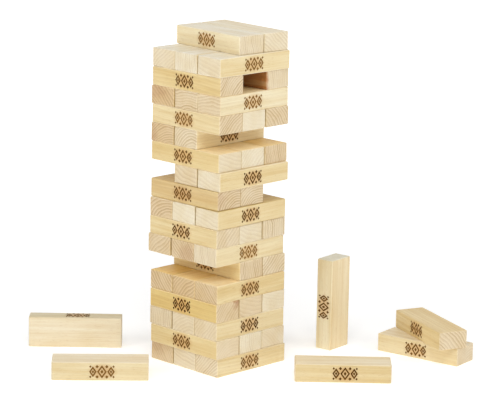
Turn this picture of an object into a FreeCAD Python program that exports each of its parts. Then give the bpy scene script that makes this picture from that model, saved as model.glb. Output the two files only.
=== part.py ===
"""Giant tumbling tower, a lawn game: 54 equal hardwood blocks, 48 of them stacked three to a level in
eighteen crossed levels, and the 6 that have been drawn out of it lying and standing on the ground.

Millimetres, +Z up. The origin is on the ground under the middle of the tower. Odd levels lie along Y,
even levels along X. Every block is a PartDesign body of its own: a sketched rectangle, padded to the
block's thickness, with a small chamfer that eases all twelve edges.
"""
import FreeCAD, Part
import os
import Sketcher

SIZES = {
    # One block, cut to a length of three widths and sanded.
    "block_length": 180.0,
    "block_width": 59.6,
    "block_thickness": 35.4,
    "edge_chamfer": 1.5,
    # The stack: the gap between two blocks that lie snug in a level, the hair's breadth left under
    # each level so that a block slides free, and the step in which a level was laid out of true.
    "snug_gap": 0.6,
    "level_gap": 0.1,
    "lay_step": 1.0,
    # Where the drawn blocks rest, measured from the tower's axis. The distances called out are
    # counted from one block length away, so that a longer block keeps its room beside the tower.
    "edge_block_out": 75.0,
    "edge_block_aside": 133.0,
    "flat_left_out": 58.0,
    "flat_left_aside": 66.0,
    "standing_out": 55.0,
    "standing_aside": 84.0,
    "flat_right_out": 66.0,
    "flat_right_aside": 90.0,
    "pair_out_x": 68.0,
    "pair_out_y": 144.0,
    "pair_offset_x": 5.0,
    "pair_offset_y": 9.0,
}

# How each level was laid, from the ground up: its middle's offset along X and Y in lay steps, its turn
# in degrees, and how many lay steps its two seams stand open beyond the snug gap.
LEVELS = [
    (1, 5, -0.6, 2, 0),
    (1, 2, 0.0, 1, 0),
    (0, 1, -0.2, 2, 0),
    (1, 0, 0.0, 1, 1),
    (1, 0, -0.1, 1, 0),
    (0, 0, 0.1, 0, 1),
    (-1, -3, 0.0, 3, 0),
    (0, -3, 0.2, 0, 2),
    (0, -3, 0.3, 0, 2),
    (-1, 0, 0.0, 0, 0),
    (0, 2, -0.1, 0, 2),
    (-2, 1, 0.2, 0, 1),
    (-1, 1, 0.3, 2, 0),
    (0, 0, 0.1, 0, 2),
    (0, 0, 0.4, 2, 0),
    (0, 0, 0.4, 0, 0),
    (1, -1, -0.9, 0, 2),
    (-2, -2, -3.6, 0, 1),
]

# The slots whose blocks have been drawn; the highest is the one the next block is laid in.
EMPTY_SLOTS = {
    "level_06_front",
    "level_10_back",
    "level_11_left",
    "level_13_right",
    "level_16_middle",
    "level_18_front",
}

UPRIGHT = FreeCAD.Vector(0, 0, 1)

doc = FreeCAD.newDocument("tumbling_tower")
sheet = doc.addObject("Spreadsheet::Sheet", "Sizes")
for row, (alias, value) in enumerate(SIZES.items(), start=1):
    sheet.set(f"A{row}", alias)
    sheet.set(f"B{row}", str(value))
    sheet.setAlias(f"B{row}", alias)
doc.recompute()


def sketch_outline(body):
    """The block's plan: a rectangle of length by width, centred on the body's origin."""
    sketch = body.newObject("Sketcher::SketchObject", "outline")
    planes = [plane for plane in body.Origin.OriginFeatures if plane.Role == "XY_Plane"]
    sketch.AttachmentSupport = [(planes[0], "")]
    sketch.MapMode = "FlatFace"
    half_length = SIZES["block_length"] / 2
    half_width = SIZES["block_width"] / 2
    corners = [
        FreeCAD.Vector(-half_length, -half_width, 0),
        FreeCAD.Vector(half_length, -half_width, 0),
        FreeCAD.Vector(half_length, half_width, 0),
        FreeCAD.Vector(-half_length, half_width, 0),
    ]
    for side in range(4):
        sketch.addGeometry(Part.LineSegment(corners[side], corners[(side + 1) % 4]))
    for side in range(4):
        sketch.addConstraint(Sketcher.Constraint("Coincident", side, 2, (side + 1) % 4, 1))
    for side in (0, 2):
        sketch.addConstraint(Sketcher.Constraint("Horizontal", side))
    for side in (1, 3):
        sketch.addConstraint(Sketcher.Constraint("Vertical", side))
    sketch.addConstraint(Sketcher.Constraint("Symmetric", 0, 1, 2, 1, -1, 1))
    length = sketch.addConstraint(Sketcher.Constraint("DistanceX", 0, 1, 0, 2, 2 * half_length))
    width = sketch.addConstraint(Sketcher.Constraint("DistanceY", 1, 1, 1, 2, 2 * half_width))
    sketch.setExpression(f"Constraints[{length}]", "Sizes.block_length")
    sketch.setExpression(f"Constraints[{width}]", "Sizes.block_width")
    return sketch


def add_block(name):
    """One block about its own centre: length along X, width along Y, thickness along Z."""
    body = doc.addObject("PartDesign::Body", name)
    body.Label = name
    plank = body.newObject("PartDesign::Pad", "plank")
    plank.Profile = sketch_outline(body)
    plank.SideType = "Symmetric"
    plank.setExpression("Length", "Sizes.block_thickness")
    eased = body.newObject("PartDesign::Chamfer", "eased_edges")
    eased.Base = (plank, [""])
    eased.UseAllEdges = True
    eased.setExpression("Size", "Sizes.edge_chamfer")
    body.Tip = eased
    return body


def place(body, x, y, z, rotation):
    """Stand a block's centre at three expressions of the sheet, turned as given."""
    body.Placement = FreeCAD.Placement(FreeCAD.Vector(), rotation)
    for axis, expression in (("x", x), ("y", y), ("z", z)):
        body.setExpression(f".Placement.Base.{axis}", expression)


def stack_level(number, laid):
    """Three blocks side by side, less the drawn ones, turned together about the level's middle."""
    steps_x, steps_y, turn, first_seam, second_seam = laid
    lies_along_y = number % 2 == 1
    names = ("left", "middle", "right") if lies_along_y else ("front", "middle", "back")
    spacing = "(Sizes.block_width + Sizes.snug_gap + {} * Sizes.lay_step)"
    across = ("-" + spacing.format(first_seam), "0", spacing.format(second_seam))
    below = f"{number - 1} * (Sizes.block_thickness + Sizes.level_gap)"
    across_x, across_y = ("cos", "sin") if lies_along_y else ("-sin", "cos")
    blocks = []
    for slot, offset in zip(names, across):
        name = f"level_{number:02d}_{slot}"
        if name in EMPTY_SLOTS:
            continue
        body = add_block(name)
        place(
            body,
            f"{steps_x} * Sizes.lay_step + ({offset}) * ({across_x}({turn} deg))",
            f"{steps_y} * Sizes.lay_step + ({offset}) * ({across_y}({turn} deg))",
            below + " + 0.5 * Sizes.block_thickness",
            FreeCAD.Rotation(UPRIGHT, turn + 90 if lies_along_y else turn),
        )
        blocks.append(body)
    return blocks


def lay_drawn_blocks():
    """The six drawn blocks: two flat, one on its edge, one on its end, and two crossed in a pair."""
    flat = FreeCAD.Rotation()
    on_edge = FreeCAD.Rotation(FreeCAD.Vector(1, 0, 0), 90)
    on_end = FreeCAD.Rotation(FreeCAD.Vector(0, 1, 0), -90)
    half_thickness = "0.5 * Sizes.block_thickness"
    pair_x = "Sizes.block_length + Sizes.pair_out_x"
    pair_y = "Sizes.block_length + Sizes.pair_out_y"
    drawn = [
        ("drawn_on_edge", on_edge, 45.0,
         "-(Sizes.block_length + Sizes.edge_block_out)", "-Sizes.edge_block_aside",
         "0.5 * Sizes.block_width"),
        ("drawn_flat_left", flat, 47.0,
         "-Sizes.flat_left_aside", "-(Sizes.block_length + Sizes.flat_left_out)", half_thickness),
        ("drawn_standing", on_end, 7.0,
         "Sizes.standing_aside", "Sizes.block_length + Sizes.standing_out",
         "0.5 * Sizes.block_length"),
        ("drawn_flat_right", flat, 44.4,
         "Sizes.block_length + Sizes.flat_right_out", "Sizes.flat_right_aside", half_thickness),
        ("drawn_pair_lower", flat, 9.4, pair_x, pair_y, half_thickness),
        ("drawn_pair_upper", flat, -21.2,
         pair_x + " + Sizes.pair_offset_x", pair_y + " + Sizes.pair_offset_y",
         "1.5 * Sizes.block_thickness"),
    ]
    blocks = []
    for name, stance, turn, x, y, z in drawn:
        body = add_block(name)
        place(body, x, y, z, FreeCAD.Rotation(UPRIGHT, turn).multiply(stance))
        blocks.append(body)
    return blocks


blocks = []
for number, laid in enumerate(LEVELS, start=1):
    blocks += stack_level(number, laid)
blocks += lay_drawn_blocks()
doc.recompute()

for item in doc.Objects:
    failed = {"Invalid", "Error"}.intersection(item.State)
    if failed:
        raise RuntimeError(f"{item.Label}: {sorted(failed)}")
for body in blocks:
    if body.Shape.isNull() or not body.Shape.isValid():
        raise RuntimeError(f"{body.Label}: no valid shape")

os.makedirs("parts", exist_ok=True)
for body in blocks:
    body.Shape.exportStep(f"parts/{body.Label}.step")

level_pitch = SIZES["block_thickness"] + SIZES["level_gap"]
stack_height = len(LEVELS) * level_pitch - SIZES["level_gap"]
print(f"{len(blocks)} blocks, stack {stack_height:.1f} mm tall")
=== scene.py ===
import math
import random

import bmesh
import bpy
from mathutils import Matrix, Quaternion, Vector


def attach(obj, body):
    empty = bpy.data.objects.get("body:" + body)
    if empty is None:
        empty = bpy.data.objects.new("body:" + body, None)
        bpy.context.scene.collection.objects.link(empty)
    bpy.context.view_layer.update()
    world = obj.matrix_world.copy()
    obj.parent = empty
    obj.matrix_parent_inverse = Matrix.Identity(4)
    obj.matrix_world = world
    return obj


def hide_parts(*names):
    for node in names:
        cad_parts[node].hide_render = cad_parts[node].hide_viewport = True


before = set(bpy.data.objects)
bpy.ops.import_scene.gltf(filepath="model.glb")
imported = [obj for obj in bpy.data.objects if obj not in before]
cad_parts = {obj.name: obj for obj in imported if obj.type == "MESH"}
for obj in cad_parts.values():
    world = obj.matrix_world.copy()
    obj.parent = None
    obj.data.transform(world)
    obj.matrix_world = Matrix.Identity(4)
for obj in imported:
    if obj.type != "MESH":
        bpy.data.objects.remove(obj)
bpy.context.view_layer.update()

# The camera stands off the tower's front right corner, a little above its middle, behind a long
# lens, so that two faces of the stack and all six drawn blocks are in view.
camera_at = Vector((3.1781, -3.1551, 1.3167))
camera_aim = Vector((0.0443, 0.0395, 0.3114))
camera_roll = math.radians(1.1)
film_width = 36.0
lens_length = 175.06
camera_lens = bpy.data.cameras.new("camera")
camera_lens.sensor_width = film_width
camera_lens.lens = lens_length
camera = bpy.data.objects.new("camera", camera_lens)
camera.location = camera_at
look = (camera_aim - camera_at).to_track_quat("-Z", "Y") @ Quaternion((0, 0, 1), camera_roll)
camera.rotation_euler = look.to_euler()
scene = bpy.context.scene
scene.collection.objects.link(camera)
scene.camera = camera
scene.view_settings.view_transform = "Standard"


# The studio: a dim white room with three broad soft lamps, one for each of the stack's two visible
# sides and one high in front. What looks straight at the room, or at its reflection, sees white.
room_white = (1.0, 1.0, 1.0, 1.0)
room_light = 0.36
lamp_size = 3.0
lamps = {
    "left_lamp": (Vector((-0.15, -5.2, 3.0)), 84.0),
    "right_lamp": (Vector((4.9, 2.0, 3.0)), 84.0),
    "high_lamp": (Vector((2.9, -2.9, 5.4)), 140.0),
}


def add_node(tree, kind, inputs, **settings):
    """A node with its settings made, and each input given a value or linked to another's output."""
    node = tree.nodes.new(kind)
    for name, value in settings.items():
        setattr(node, name, value)
    for socket, value in inputs.items():
        if isinstance(value, bpy.types.NodeSocket):
            tree.links.new(value, node.inputs[socket])
        else:
            node.inputs[socket].default_value = value
    return node


def compute(tree, operation, *values):
    """The result of one Math node."""
    node = add_node(tree, "ShaderNodeMath", dict(enumerate(values)), operation=operation)
    return node.outputs["Value"]


def spread(tree, value, low, high, to_low=0.0, to_high=1.0):
    """How far the value has come from low to high, made into the same way from to_low to to_high."""
    fed = {"Value": value, "From Min": low, "From Max": high, "To Min": to_low, "To Max": to_high}
    return add_node(tree, "ShaderNodeMapRange", fed).outputs["Result"]


def seen_directly(tree):
    """1 for rays from the camera and for reflected or transmitted ones, 0 for light on its way."""
    path = tree.nodes.new("ShaderNodeLightPath")
    sharp = compute(tree, "MAXIMUM", path.outputs["Is Glossy Ray"], path.outputs["Is Transmission Ray"])
    return compute(tree, "MAXIMUM", path.outputs["Is Camera Ray"], sharp)


room = bpy.data.worlds.new("white_room")
room.use_nodes = True
room_tree = room.node_tree
room_tree.nodes.clear()
brightness = spread(room_tree, seen_directly(room_tree), 0.0, 1.0, room_light, 1.0)
sky = add_node(room_tree, "ShaderNodeBackground", {"Color": room_white, "Strength": brightness})
add_node(room_tree, "ShaderNodeOutputWorld", {"Surface": sky.outputs["Background"]})
scene.world = room

for name, (lamp_at, power) in lamps.items():
    light = bpy.data.lights.new(name, "AREA")
    light.energy = power
    light.size = lamp_size
    lamp = bpy.data.objects.new(name, light)
    lamp.location = lamp_at
    lamp.rotation_euler = (camera_aim - lamp_at).to_track_quat("-Z", "Y").to_euler()
    scene.collection.objects.link(lamp)


# The floor: a light table under one sheet of pale matt paper, wide enough to fill the view. It keeps
# the soft shadows of the blocks, and glows more and more further out, where the lamps reach it less.
floor_side = 30.0
paper_white = (0.90, 0.90, 0.90, 1.0)
table_light = 0.50
# How brightly the paper glows close to the tower and far from it, and how near and far those are.
near_glow, far_glow = 0.38, 0.90
near_reach, far_reach = 0.7, 3.0


def distance(tree, place):
    """How far the place lies from the origin."""
    return add_node(tree, "ShaderNodeVectorMath", {0: place}, operation="LENGTH").outputs["Value"]


paper = bpy.data.materials.new("studio_paper")
paper.use_nodes = True
paper_tree = paper.node_tree
paper_tree.nodes.clear()
matt = add_node(paper_tree, "ShaderNodeBsdfDiffuse", {"Color": paper_white})
paper_place = add_node(paper_tree, "ShaderNodeTexCoord", {})
from_tower = distance(paper_tree, paper_place.outputs["Object"])
seen_glow = spread(paper_tree, from_tower, near_reach, far_reach, near_glow, far_glow)
glow_strength = spread(paper_tree, seen_directly(paper_tree), 0.0, 1.0, table_light, seen_glow)
glow = add_node(paper_tree, "ShaderNodeEmission", {"Strength": glow_strength})
lit_paper = add_node(
    paper_tree, "ShaderNodeAddShader", {0: matt.outputs["BSDF"], 1: glow.outputs["Emission"]}
)
add_node(paper_tree, "ShaderNodeOutputMaterial", {"Surface": lit_paper.outputs["Shader"]})

floor_form = bmesh.new()
bmesh.ops.create_grid(floor_form, x_segments=1, y_segments=1, size=floor_side / 2)
floor_mesh = bpy.data.meshes.new("floor")
floor_form.to_mesh(floor_mesh)
floor_form.free()
floor_mesh.materials.append(paper)
floor = bpy.data.objects.new("floor", floor_mesh)
scene.collection.objects.link(floor)


# The wood: pale close-grained hardwood, sanded and left bare. A block shows its growth rings as arcs
# or stripes across its ends and as long streaks down its sides, and no two blocks are one colour.
# Each block carries where it grew in the log, so the figure runs true from its ends into its sides.
ring_tint = (0.60, 0.47, 0.32)
fibre_tint = (0.90, 0.82, 0.70)
streak_tint = (0.91, 0.85, 0.73)
cloud_tint = (0.94, 0.90, 0.81)
pore_tint = (0.68, 0.52, 0.36)
# Brown of the heartwood, and of the painted shade on the slot wall in level 16.
heart_and_shade_tint = (0.55, 0.28, 0.14)
scorch_tint = (0.76, 0.50, 0.26)
# Painted highlight mixed with wear: this tint lightens and cools the rounded edges.
wear_and_highlight_tint = (1.03, 1.06, 1.12)
fibre_strength = 0.5
pore_strength = 0.5
scorch_strength = 0.6

# Each pattern in the wood: how many of its features a metre holds along the grain and across it, how
# finely they break up, and between which strengths of the noise the pattern comes in.
sway_pattern = (6.0, 26.0, 1.0, 0.2, 0.8)
ripple_pattern = (25.0, 170.0, 2.0, 0.2, 0.8)
fibre_pattern = (8.0, 640.0, 3.0, 0.42, 0.70)
streak_pattern = (2.6, 85.0, 2.0, 0.42, 0.72)
cloud_pattern = (9.0, 30.0, 2.0, 0.35, 0.70)
pore_pattern = (90.0, 1500.0, 1.0, 0.64, 0.74)
ragged_pattern = (6.0, 110.0, 2.0, 0.3, 0.7)

# The rings sway and ripple by these distances. Over each ring's width the late wood deepens slowly and
# ends at once, and the faintest year shows this much of the strongest.
ring_sway = 0.004
ring_ripple = 0.0006
late_wood_deepens = (0.25, 0.90)
late_wood_ends = (1.0, 0.93)
faintest_year = 0.3

# The edges of the dark streaks, of heartwood and of the painted shade on one slot wall, and of the
# toasted wood, in parts of their own reach, from where either has faded out to where it is full, and
# how ragged they are.
dark_streak_edge = (1.30, 0.50)
dark_streak_ragged = 0.30
scorch_edge = (1.15, 0.60)
scorch_ragged = 0.15

# How deep the grain feels, the share of the rings in that, and how rough sanding leaves the wood.
grain_depth = 0.0002
grain_strength = 0.5
ring_depth = 0.6
smoothest, roughest = 0.50, 0.64

# What counts of a place across the grain, and of one on a block's side.
across_grain = (0.0, 1.0, 1.0)
over_side = (1.0, 1.0, 0.0)


def carried(tree, name, output):
    """One of the values that a block's mesh carries."""
    node = add_node(tree, "ShaderNodeAttribute", {}, attribute_type="GEOMETRY", attribute_name=name)
    return node.outputs[output]


def scaled(tree, place, scale):
    """The place, with each of its coordinates multiplied."""
    node = add_node(tree, "ShaderNodeVectorMath", {0: place, 1: scale}, operation="MULTIPLY")
    return node.outputs["Vector"]


def grain_pattern(tree, place, along, across, detail, low, high, to_low=0.0, to_high=1.0):
    """One of the patterns, drawn out along the grain."""
    stretched = scaled(tree, place, (along, across, across))
    fed = {"Vector": stretched, "Scale": 1.0, "Detail": detail}
    noise = add_node(tree, "ShaderNodeTexNoise", fed).outputs["Fac"]
    return spread(tree, noise, low, high, to_low, to_high)


def tinted(tree, colour, amount, tint):
    """The colour, multiplied by the tint where amount is 1."""
    fed = {0: amount, 6: colour, 7: (*tint, 1.0)}
    node = add_node(tree, "ShaderNodeMix", fed, data_type="RGBA", blend_type="MULTIPLY", clamp_factor=True)
    return node.outputs[2]


def make_hardwood():
    """The wood of every block, which follows the values that the block's mesh carries."""
    wood = bpy.data.materials.new("hardwood")
    wood.use_nodes = True
    tree = wood.node_tree
    tree.nodes.clear()
    place = carried(tree, "log_place", "Vector")
    end_grain = carried(tree, "end_grain", "Fac")
    figure = add_node(tree, "ShaderNodeSeparateXYZ", {"Vector": carried(tree, "figure", "Vector")})
    rings_per_metre, end_rings, side_rings = figure.outputs

    # The distance from the pith, which wanders a little as the tree did, counts the rings.
    from_pith = distance(tree, scaled(tree, place, across_grain))
    sway = grain_pattern(tree, place, *sway_pattern, -ring_sway, ring_sway)
    ripple = grain_pattern(tree, place, *ripple_pattern, -ring_ripple, ring_ripple)
    radius = compute(tree, "ADD", compute(tree, "ADD", from_pith, sway), ripple)
    counted = compute(tree, "MULTIPLY", radius, rings_per_metre)
    into_ring = compute(tree, "FRACT", counted)
    deepens = spread(tree, into_ring, *late_wood_deepens)
    late_wood = compute(tree, "MULTIPLY", deepens, spread(tree, into_ring, *late_wood_ends))
    year = add_node(
        tree, "ShaderNodeTexWhiteNoise", {"W": compute(tree, "FLOOR", counted)}, noise_dimensions="1D"
    )
    year_strength = spread(tree, year.outputs["Value"], 0.0, 1.0, faintest_year, 1.0)
    ring_strength = spread(tree, end_grain, 0.0, 1.0, side_rings, end_rings)
    rings = compute(tree, "MULTIPLY", compute(tree, "MULTIPLY", year_strength, late_wood), ring_strength)

    # Fine fibres and broad streaks run along the grain; the pores are dashes on the sides and dots on
    # the ends.
    fibres = grain_pattern(tree, place, *fibre_pattern)
    streaks = grain_pattern(tree, place, *streak_pattern)
    clouds = grain_pattern(tree, place, *cloud_pattern)
    pores = grain_pattern(tree, place, *pore_pattern)
    side_grain = compute(tree, "SUBTRACT", 1.0, end_grain)

    # Browner heartwood shows in a few blocks, in a streak that runs through from end to end. The same
    # kind of streak, laid over one whole side of a block in level 16, is painted shade on the wall of a
    # slot.
    dark_streak_place = carried(tree, "dark_streak_place", "Vector")
    dark_streak_depth = add_node(tree, "ShaderNodeSeparateXYZ", {"Vector": dark_streak_place}).outputs["X"]
    from_dark_streak = distance(tree, scaled(tree, dark_streak_place, across_grain))
    ragged = grain_pattern(tree, place, *ragged_pattern, -dark_streak_ragged, dark_streak_ragged)
    in_dark_streak = spread(tree, compute(tree, "ADD", from_dark_streak, ragged), *dark_streak_edge)
    heart_and_shade_amount = compute(tree, "MULTIPLY", in_dark_streak, dark_streak_depth)

    # The block's colour, which on some blocks holds painted light and shade as well as the wood's own
    # colour.
    colour = carried(tree, "block_colour", "Color")
    colour = tinted(tree, colour, heart_and_shade_amount, heart_and_shade_tint)
    colour = tinted(tree, colour, clouds, cloud_tint)
    colour = tinted(tree, colour, rings, ring_tint)
    colour = tinted(tree, colour, compute(tree, "MULTIPLY", streaks, side_grain), streak_tint)
    colour = tinted(tree, colour, compute(tree, "MULTIPLY", fibres, fibre_strength), fibre_tint)
    colour = tinted(tree, colour, compute(tree, "MULTIPLY", pores, pore_strength), pore_tint)

    # The hot iron has toasted the wood round its mark. The rounded edges are made paler, partly as wear
    # from hands and partly as a painted highlight where they catch the light.
    mark_place = carried(tree, "mark_place", "Vector")
    on_side = add_node(tree, "ShaderNodeSeparateXYZ", {"Vector": mark_place}).outputs["Z"]
    from_mark = distance(tree, scaled(tree, mark_place, over_side))
    patchy = spread(tree, clouds, 0.0, 1.0, -scorch_ragged, scorch_ragged)
    toasted = spread(tree, compute(tree, "ADD", from_mark, patchy), *scorch_edge, 0.0, scorch_strength)
    colour = tinted(tree, colour, compute(tree, "MULTIPLY", toasted, on_side), scorch_tint)
    colour = tinted(tree, colour, carried(tree, "wear_and_edge_highlight", "Fac"), wear_and_highlight_tint)

    hollows = compute(tree, "ADD", compute(tree, "MULTIPLY", fibres, fibre_strength), pores)
    relief = compute(tree, "SUBTRACT", compute(tree, "MULTIPLY", rings, -ring_depth), hollows)
    bump = add_node(
        tree, "ShaderNodeBump",
        {"Height": relief, "Strength": grain_strength, "Distance": grain_depth},
    )
    roughness = spread(tree, fibres, 0.0, 1.0, smoothest, roughest)
    shader = add_node(
        tree, "ShaderNodeBsdfPrincipled",
        {"Base Color": colour, "Roughness": roughness, "Normal": bump.outputs["Normal"]},
    )
    add_node(tree, "ShaderNodeOutputMaterial", {"Surface": shader.outputs["BSDF"]})
    return wood


hardwood = make_hardwood()


# The burnt mark: a row of three lozenges set with small diamonds, pressed into both narrow sides of
# every block with a hot iron. It leaves a shallow groove, charred dark brown where the iron was hot
# and only toasted where it had cooled.
char_dark = (0.045, 0.016, 0.002, 1.0)
char_light = (0.120, 0.048, 0.006, 1.0)
toasted_brown = (0.380, 0.200, 0.050, 1.0)
char_pattern = (160.0, 260.0, 3.0, 0.40, 0.62)
char_roughness = 0.9
char_shine = 0.1

burnt_mark = bpy.data.materials.new("burnt_mark")
burnt_mark.use_nodes = True
char_tree = burnt_mark.node_tree
char_tree.nodes.clear()
char_place = carried(char_tree, "log_place", "Vector")
paler = grain_pattern(char_tree, char_place, *char_pattern)
charred = add_node(char_tree, "ShaderNodeMix", {0: paler, 6: char_dark, 7: char_light}, data_type="RGBA")
heat = carried(char_tree, "iron_heat", "Fac")
burnt = add_node(
    char_tree, "ShaderNodeMix", {0: heat, 6: toasted_brown, 7: charred.outputs[2]}, data_type="RGBA",
)
char_shader = add_node(
    char_tree, "ShaderNodeBsdfPrincipled",
    {"Base Color": burnt.outputs[2], "Roughness": char_roughness, "Specular IOR Level": char_shine},
)
add_node(char_tree, "ShaderNodeOutputMaterial", {"Surface": char_shader.outputs["BSDF"]})

# The groove's depth, how far its walls lean in, and its width; the lozenges' half sizes along the block
# and across it, and how large a diamond stands inside each.
burn_depth = 0.0005
burn_slope = 0.0002
line_width = 0.0028
middle_lozenge = (0.0090, 0.0128)
side_lozenge = (0.0070, 0.0106)
side_lozenge_out = 0.0168
inner_diamond = 0.32
# Each small diamond: how far out and up it lies from the middle of the mark, and its half sizes.
diamonds = [(0.0090, 0.0099, 0.0031, 0.0033), (0.0214, 0.0099, 0.0023, 0.0026)]


def iron_line(form, place, depth, half_length, half_height, inset=0.0):
    """A lozenge drawn on the side, or below it by depth, with its edges moved in by the inset."""
    slant = math.hypot(half_length, half_height)
    size = (half_length - inset * slant / half_height, half_height - inset * slant / half_length)
    matrix = place @ Matrix.Translation((0.0, 0.0, -depth)) @ Matrix.Diagonal((*size, 1.0, 1.0))
    made = bmesh.ops.create_circle(form, cap_ends=False, segments=4, radius=1.0, matrix=matrix)
    return list(dict.fromkeys(edge for corner in made["verts"] for edge in corner.link_edges))


def char(faces):
    """Makes these faces burnt ones."""
    for face in faces:
        face.material_index = 1


def burn_diamond(form, place, half_length, half_height):
    """A solid diamond of the mark; gives the edges of its rim."""
    rim = iron_line(form, place, 0.0, half_length, half_height)
    sunk = iron_line(form, place, burn_depth, half_length, half_height, burn_slope)
    char(bmesh.ops.bridge_loops(form, edges=rim + sunk)["faces"])
    char(bmesh.ops.edgeloop_fill(form, edges=sunk)["faces"])
    return rim


def burn_lozenge(form, place, half_length, half_height):
    """A lozenge drawn in line, with a diamond inside; gives the edges of its outer rim."""
    lines = [
        iron_line(form, place, depth, half_length, half_height, inset)
        for depth, inset in (
            (0.0, 0.0), (burn_depth, burn_slope), (burn_depth, line_width - burn_slope), (0.0, line_width)
        )
    ]
    for outer, inner in zip(lines, lines[1:]):
        char(bmesh.ops.bridge_loops(form, edges=outer + inner)["faces"])
    within = burn_diamond(form, place, inner_diamond * half_length, inner_diamond * half_height)
    bmesh.ops.triangle_fill(form, use_beauty=True, edges=lines[-1] + within)
    return lines[0]


def burn_mark(form, place, panel):
    """The whole mark, let into one flat panel of a block's side."""
    lines = list(panel.edges)
    bmesh.ops.delete(form, geom=[panel], context="FACES_ONLY")
    lines += burn_lozenge(form, place, *middle_lozenge)
    for end in (-1, 1):
        beside = place @ Matrix.Translation((end * side_lozenge_out, 0.0, 0.0))
        lines += burn_lozenge(form, beside, *side_lozenge)
        for out, up, half_length, half_height in diamonds:
            for row in (-1, 1):
                corner = place @ Matrix.Translation((end * out, row * up, 0.0))
                lines += burn_diamond(form, corner, half_length, half_height)
    bmesh.ops.triangle_fill(form, use_beauty=True, edges=lines)


# The blocks: fifty-four, sawn three widths long, with every edge rounded over by sanding. Each is
# its own piece, and lies where its solid lies.
edge_radius = 0.0018
edge_wear = 0.00025

# How round a place has to be to wear, how pale the wear and the painted edge highlight are, and how
# nearly two faces have to point the same way to be one flat. The faces are divided at the cut places,
# and the mark goes in the middle part.
worn_from = 0.2
pale_wear_and_highlight = 2.3
flush = 0.999
cut_places = (-0.074, -0.053, -0.032, 0.032, 0.053, 0.074)

# How far left of a side's middle the mark lies, how far the iron slipped along and across the side, and
# how far its heat has toasted the wood each way.
mark_off_middle = 0.004
mark_slip = 0.0012
mark_lift = 0.0005
heat_reach = (0.024, 0.0145)

# Of the two ways along a block, and across it, the one that lies nearer to these is taken.
lengthwise = Vector((1.0, -0.9, 0.1))
widthwise = Vector((1.0, 0.9, 0.1))

# The colours of the narrow sides, the broad sides and the ends, as pale sapwood and as golden wood. The
# broad sides, mostly tops, are paler partly as painted light from above, and their golden colour is
# partly painted warm bounce light in the recesses. A broad side is this much as golden as the narrow
# ones, and any side shows this much of the ends' rings.
pale_side = Vector((0.838, 0.768, 0.570))
golden_side = Vector((0.712, 0.528, 0.199))
pale_flat = Vector((0.945, 0.900, 0.775))
golden_flat = Vector((0.940, 0.680, 0.230))
pale_end = Vector((0.800, 0.735, 0.570))
golden_end = Vector((0.640, 0.450, 0.220))
broad_gold_share = 0.5
side_figure_share = 0.25

# The figures: where the pith lay from a block's middle, across and up at its end, and a ring's width.
figures = {
    "plain": (0.070, 0.260, 0.0075),
    "rising": (0.130, -0.120, 0.0058),
    "falling": (-0.130, -0.120, 0.0055),
    "upright": (0.210, 0.020, 0.0048),
    "level": (0.020, -0.180, 0.0055),
    "arched": (0.022, -0.042, 0.0052),
}

# No two blocks are the same: how much of its figure's distances each has, how far its log leaned, and
# how long the log is that it was cut from.
figure_range = (0.85, 1.15)
log_lean = 0.03
log_length = 20.0

# Each level from the ground up, and in it each block from the left or the front: the figure of its
# end, how strong that is, and how golden its ends and its narrow sides are. Pale sapwood is 0, golden
# wood is 10, and the palest of all is below 0. None stands for a block that has been drawn.
stack_timber = [
    [("falling", 0.6, 6, 6), ("plain", 0.4, 2.5, 3), ("rising", 0.9, 3, 4.8)],
    [("arched", 0.2, 4, 6.8), ("upright", 0.4, 1, 3), ("falling", 0.2, 2.6, 4)],
    [("upright", 0.7, 3, 4), ("arched", 0.3, 3, 4), ("rising", 0.4, 3.5, 4)],
    [("rising", 0.6, 5.5, 9.8), ("plain", 0.4, 5, 6), ("plain", 0.2, 1.4, 3)],
    [("falling", 1.0, 7, 6), ("rising", 0.9, 8, 7), ("falling", 0.8, 7, 6)],
    [None, ("upright", 1.0, 5, 6.5), ("rising", 0.9, 3.6, 4)],
    [("rising", 0.7, 5.5, 6), ("falling", 0.9, 6, 7), ("upright", 0.6, 2.6, 4)],
    [("rising", 0.6, 3.7, 5.4), ("plain", 0.3, 1.8, 4), ("upright", 0.9, 2.8, 4)],
    [("arched", 0.9, 6.5, 6), ("plain", 0.2, 0.8, 2), ("plain", 0.3, 1.8, 5.2)],
    [("arched", 1.0, 5, 7.2), ("arched", 0.9, 4, 4), None],
    [None, ("plain", 0.5, 4, 4), ("plain", 0.3, 1.7, 5.4)],
    [("plain", 0.3, 2.5, 7), ("rising", 0.3, 1.3, 2), ("upright", 1.0, 5.8, 5)],
    [("arched", 0.9, 7.5, 7), ("arched", 0.8, 3.2, 2), None],
    [("rising", 1.0, 4.8, 5.2), ("plain", 0.2, 1.3, 3), ("falling", 0.9, 4.8, 5)],
    [("falling", 0.9, 8.4, 8), ("level", 0.9, 4.8, 5), ("level", 0.6, 4.8, 1.6)],
    [("rising", 1.0, 4.4, 7), None, ("upright", 0.4, 3.2, 6)],
    [("rising", 0.4, 2.6, 4), ("upright", 0.5, 1.2, 3), ("plain", 0.3, 2.3, 4.8)],
    [None, ("upright", 0.7, 2.2, 1), ("falling", 0.5, 1.8, 3)],
]

drawn_timber = {
    "drawn_on_edge": ("plain", 0.3, 2, 1),
    "drawn_flat_left": ("level", 0.3, 3, 4),
    "drawn_standing": ("upright", 0.2, -3, 1),
    "drawn_flat_right": ("plain", 0.4, 4, 5),
    "drawn_pair_lower": ("arched", 0.4, 4, 3.4),
    "drawn_pair_upper": ("falling", 0.9, 4, 6.5),
}

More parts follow.
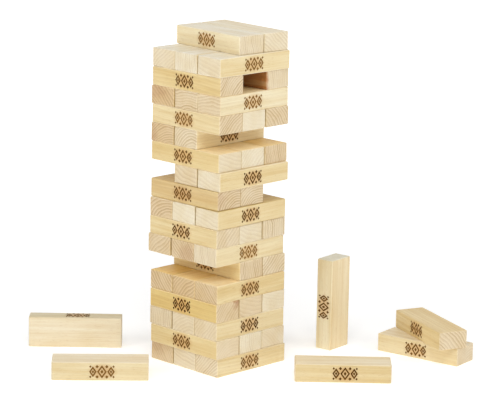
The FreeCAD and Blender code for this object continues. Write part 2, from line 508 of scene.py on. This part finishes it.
# Where heartwood shows at a block's end: across and up, how far it reaches each way, and how deep its
# brown is. The streak of level_16_back is painted shade, not heartwood: it covers the whole side that
# faces the slot left by the drawn middle block. Any other block has none.
heart_and_shade_streaks = {
    "level_01_left": (-0.014, 0.010, 0.020, 0.016, 0.25),
    "level_04_front": (0.028, 0.016, 0.014, 0.014, 0.60),
    "level_07_middle": (0.014, -0.004, 0.020, 0.018, 0.30),
    "level_10_front": (-0.026, 0.004, 0.017, 0.017, 0.20),
    "level_13_left": (-0.030, -0.018, 0.016, 0.028, 0.35),
    "level_15_left": (-0.016, 0.008, 0.024, 0.016, 0.30),
    # Painted shade: the slot wall in level 16, darkened red-brown from end to end.
    "level_16_back": (-0.0325, 0.0, 0.007, 0.050, 1.00),
}
no_dark_streak = (1.0, 1.0, 0.01, 0.01, 0.0)

# Blocks whose broad sides don't match their narrow ones: how golden they are, on the same scale, and
# how light they are beside the rest. This is mostly painted light and shade: the tops in the recesses
# of levels 5, 9, 10, 12 and 15 are painted golden as warm bounce light, the middle ones of levels 5 and
# 12 lighter against their shade and those of levels 9 and 10 darker as painted shade. The tops of level
# 17 are painted paler against the shade of level 18, and the upright broad sides of the drawn on-edge
# and standing blocks darker where they face the lamps.
broad_sides_and_painted_light = {
    "drawn_on_edge": (2.5, 0.89), "drawn_standing": (4.5, 0.89), "drawn_pair_upper": (6, 0.94),
    "level_05_left": (9, 1.0), "level_05_middle": (7, 1.04), "level_05_right": (5, 1.0),
    "level_09_right": (9, 0.68), "level_10_front": (8, 0.76), "level_15_right": (5, 1.0),
    "level_12_front": (5, 1.0), "level_12_middle": (5, 1.04), "level_12_back": (7.5, 1.0),
    "level_17_left": (0, 1.0), "level_17_middle": (0, 1.0), "level_17_right": (0, 1.0),
}

# Blocks whose narrow sides are lighter or darker than the rest. Those of the middle blocks of levels 6
# and 13, walls of recesses, and of the drawn standing block, in the tower's shadow, are made lighter as
# painted light against their shade.
narrow_lightness_and_painted_light = {
    "level_06_middle": 1.15, "level_13_middle": 1.15, "level_18_middle": 1.08,
    "drawn_standing": 1.08, "drawn_flat_left": 0.94, "drawn_flat_right": 0.95,
}

# How hot the iron was for a block's marks, from 0, where it only toasts, to 1, where it chars.
usual_heat = 0.75
iron_heat = {
    "level_01_right": 0.66, "level_02_front": 0.74, "level_03_right": 0.90, "level_04_front": 1.00,
    "level_05_right": 0.68, "level_07_right": 0.44, "level_08_front": 0.88, "level_09_right": 0.82,
    "level_10_front": 0.74, "level_11_right": 0.88, "level_12_front": 0.75, "level_13_middle": 0.80,
    "level_14_front": 0.54, "level_15_right": 0.50, "level_16_front": 0.82, "level_17_right": 0.54,
    "level_18_middle": 0.40, "drawn_flat_left": 0.58, "drawn_flat_right": 0.88, "drawn_pair_lower": 0.70,
    "drawn_pair_upper": 0.80,
}


def find_block(node):
    """A solid block's own axes (length, width, thickness) with its middle, and its half sizes."""
    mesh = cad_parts[node].data
    flats = []
    for face in mesh.polygons:
        for flat in flats:
            if abs(flat[1].dot(face.normal)) > flush:
                flat[0] += face.area
                break
        else:
            flats.append([face.area, face.normal.copy()])
    flats.sort(key=lambda flat: flat[0], reverse=True)
    length, width = flats[2][1], flats[1][1]
    if length.dot(lengthwise) < 0:
        length = -length
    if width.dot(widthwise) < 0:
        width = -width
    axes = (length, width, length.cross(width))
    spans = [[corner.co.dot(axis) for corner in mesh.vertices] for axis in axes]
    middle = Vector()
    for axis, span in zip(axes, spans):
        middle += axis * (min(span) + max(span)) / 2
    matrix = Matrix(axes).transposed().to_4x4()
    matrix.translation = middle
    return matrix, Vector([(max(span) - min(span)) / 2 for span in spans])


def nearness(place, half):
    """How far each coordinate has come through the rounding to its own flat, from 0 to 1."""
    past = [(abs(at) - size + edge_radius) / edge_radius for at, size in zip(place, half)]
    return [min(1.0, max(0.0, part)) for part in past]


def roundness(place, half):
    """0 on a block's flats, and nearly a half in the middle of its rounded edges."""
    near = sorted(nearness(place, half))
    return near[1] * near[2]


def make_block(node, timber):
    """One block: shaped, marked, given its wood and laid where its solid lies."""
    figure, strength, end_gold, side_gold = timber
    chance = random.Random(node)
    matrix, half = find_block(node)
    form = bmesh.new()
    bmesh.ops.create_cube(form, size=2.0, matrix=Matrix.Diagonal((*half, 1.0)))
    bmesh.ops.bevel(
        form, geom=form.edges[:], offset=edge_radius, offset_type="OFFSET", affect="EDGES",
        segments=3, profile=0.5, material=-1,
    )
    for cut in cut_places:
        whole = form.verts[:] + form.edges[:] + form.faces[:]
        bmesh.ops.bisect_plane(form, geom=whole, plane_co=(cut, 0.0, 0.0), plane_no=(1.0, 0.0, 0.0))
    for face in form.faces:
        face.smooth = max(abs(part) for part in face.normal) < flush
    for corner in form.verts:
        if roundness(corner.co, half) > worn_from:
            corner.co *= 1.0 - chance.uniform(0.0, edge_wear) / corner.co.yz.length

    # The mark goes on the two long narrow sides, each a little to the left as one faces it.
    stood_up = Matrix.Rotation(math.radians(90), 4, "X")
    for turn in (0.0, math.pi):
        side = Matrix.Rotation(turn, 4, "Z")
        outward = side @ Vector((0.0, -1.0, 0.0))
        on_side = [face for face in form.faces if face.normal.dot(outward) > flush]
        panel = min(on_side, key=lambda face: abs(face.calc_center_median().x))
        slip = chance.uniform(-mark_slip, mark_slip) - mark_off_middle
        lift = chance.uniform(-mark_lift, mark_lift)
        burn_mark(form, side @ Matrix.Translation((slip, -half.y, lift)) @ stood_up, panel)
    bmesh.ops.recalc_face_normals(form, faces=form.faces)

    across, up, ring_width = figures[figure]
    across *= chance.uniform(*figure_range)
    up *= chance.uniform(*figure_range)
    lean_across, lean_up = chance.uniform(-log_lean, log_lean), chance.uniform(-log_lean, log_lean)
    along = chance.uniform(0.0, log_length)
    ring_count = 1.0 / (ring_width * chance.uniform(*figure_range))
    streak_across, streak_up, streak_width, streak_height, dark_streak_depth = heart_and_shade_streaks.get(
        node, no_dark_streak
    )
    # Painted light on some narrow sides, as listed above.
    side_colour = narrow_lightness_and_painted_light.get(node, 1.0) * pale_side.lerp(golden_side, side_gold / 10)
    end_colour = pale_end.lerp(golden_end, end_gold / 10)
    # Painted light and shade on some blocks' broad sides, with the wood's own colour.
    flat_gold, lightness = broad_sides_and_painted_light.get(node, (broad_gold_share * side_gold, 1.0))
    flat_colour = lightness * pale_flat.lerp(golden_flat, flat_gold / 10)

    # Every corner of the mesh carries what the wood and the burnt mark are coloured by.
    vectors = form.verts.layers.float_vector
    values = form.verts.layers.float
    log_place = vectors.new("log_place")
    figure_values = vectors.new("figure")
    dark_streak_place = vectors.new("dark_streak_place")
    mark_place = vectors.new("mark_place")
    block_colour = form.verts.layers.float_color.new("block_colour")
    end_grain = values.new("end_grain")
    wear_and_edge_highlight = values.new("wear_and_edge_highlight")
    heat = values.new("iron_heat")
    for corner in form.verts:
        x, y, z = corner.co
        at_end, at_side, at_flat = nearness(corner.co, half)
        corner[log_place] = (x + along, y - across - lean_across * x, z - up - lean_up * x)
        corner[figure_values] = (ring_count, strength, side_figure_share * strength)
        corner[dark_streak_place] = (dark_streak_depth, (y - streak_across) / streak_width, (z - streak_up) / streak_height)
        from_left = x if y < 0 else -x
        corner[mark_place] = ((from_left + mark_off_middle) / heat_reach[0], z / heat_reach[1], at_side)
        long_colour = flat_colour.lerp(side_colour, at_side * (1.0 - at_flat / 2))
        corner[block_colour] = (*long_colour.lerp(end_colour, at_end), 1.0)
        corner[end_grain] = at_end
        corner[heat] = iron_heat.get(node, usual_heat)
        # Painted highlight mixed with wear: the rounded edges are made paler.
        corner[wear_and_edge_highlight] = min(1.0, pale_wear_and_highlight * roundness(corner.co, half))
    form.transform(matrix)
    mesh = bpy.data.meshes.new(f"{node}_block")
    form.to_mesh(mesh)
    form.free()
    mesh.materials.append(hardwood)
    mesh.materials.append(burnt_mark)
    block = bpy.data.objects.new(f"{node}_block", mesh)
    scene.collection.objects.link(block)
    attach(block, node)
    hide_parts(node)


for number, level in enumerate(stack_timber, start=1):
    slots = ("left", "middle", "right") if number % 2 else ("front", "middle", "back")
    for slot, timber in zip(slots, level):
        if timber:
            make_block(f"level_{number:02d}_{slot}", timber)
for node, timber in drawn_timber.items():
    make_block(node, timber)
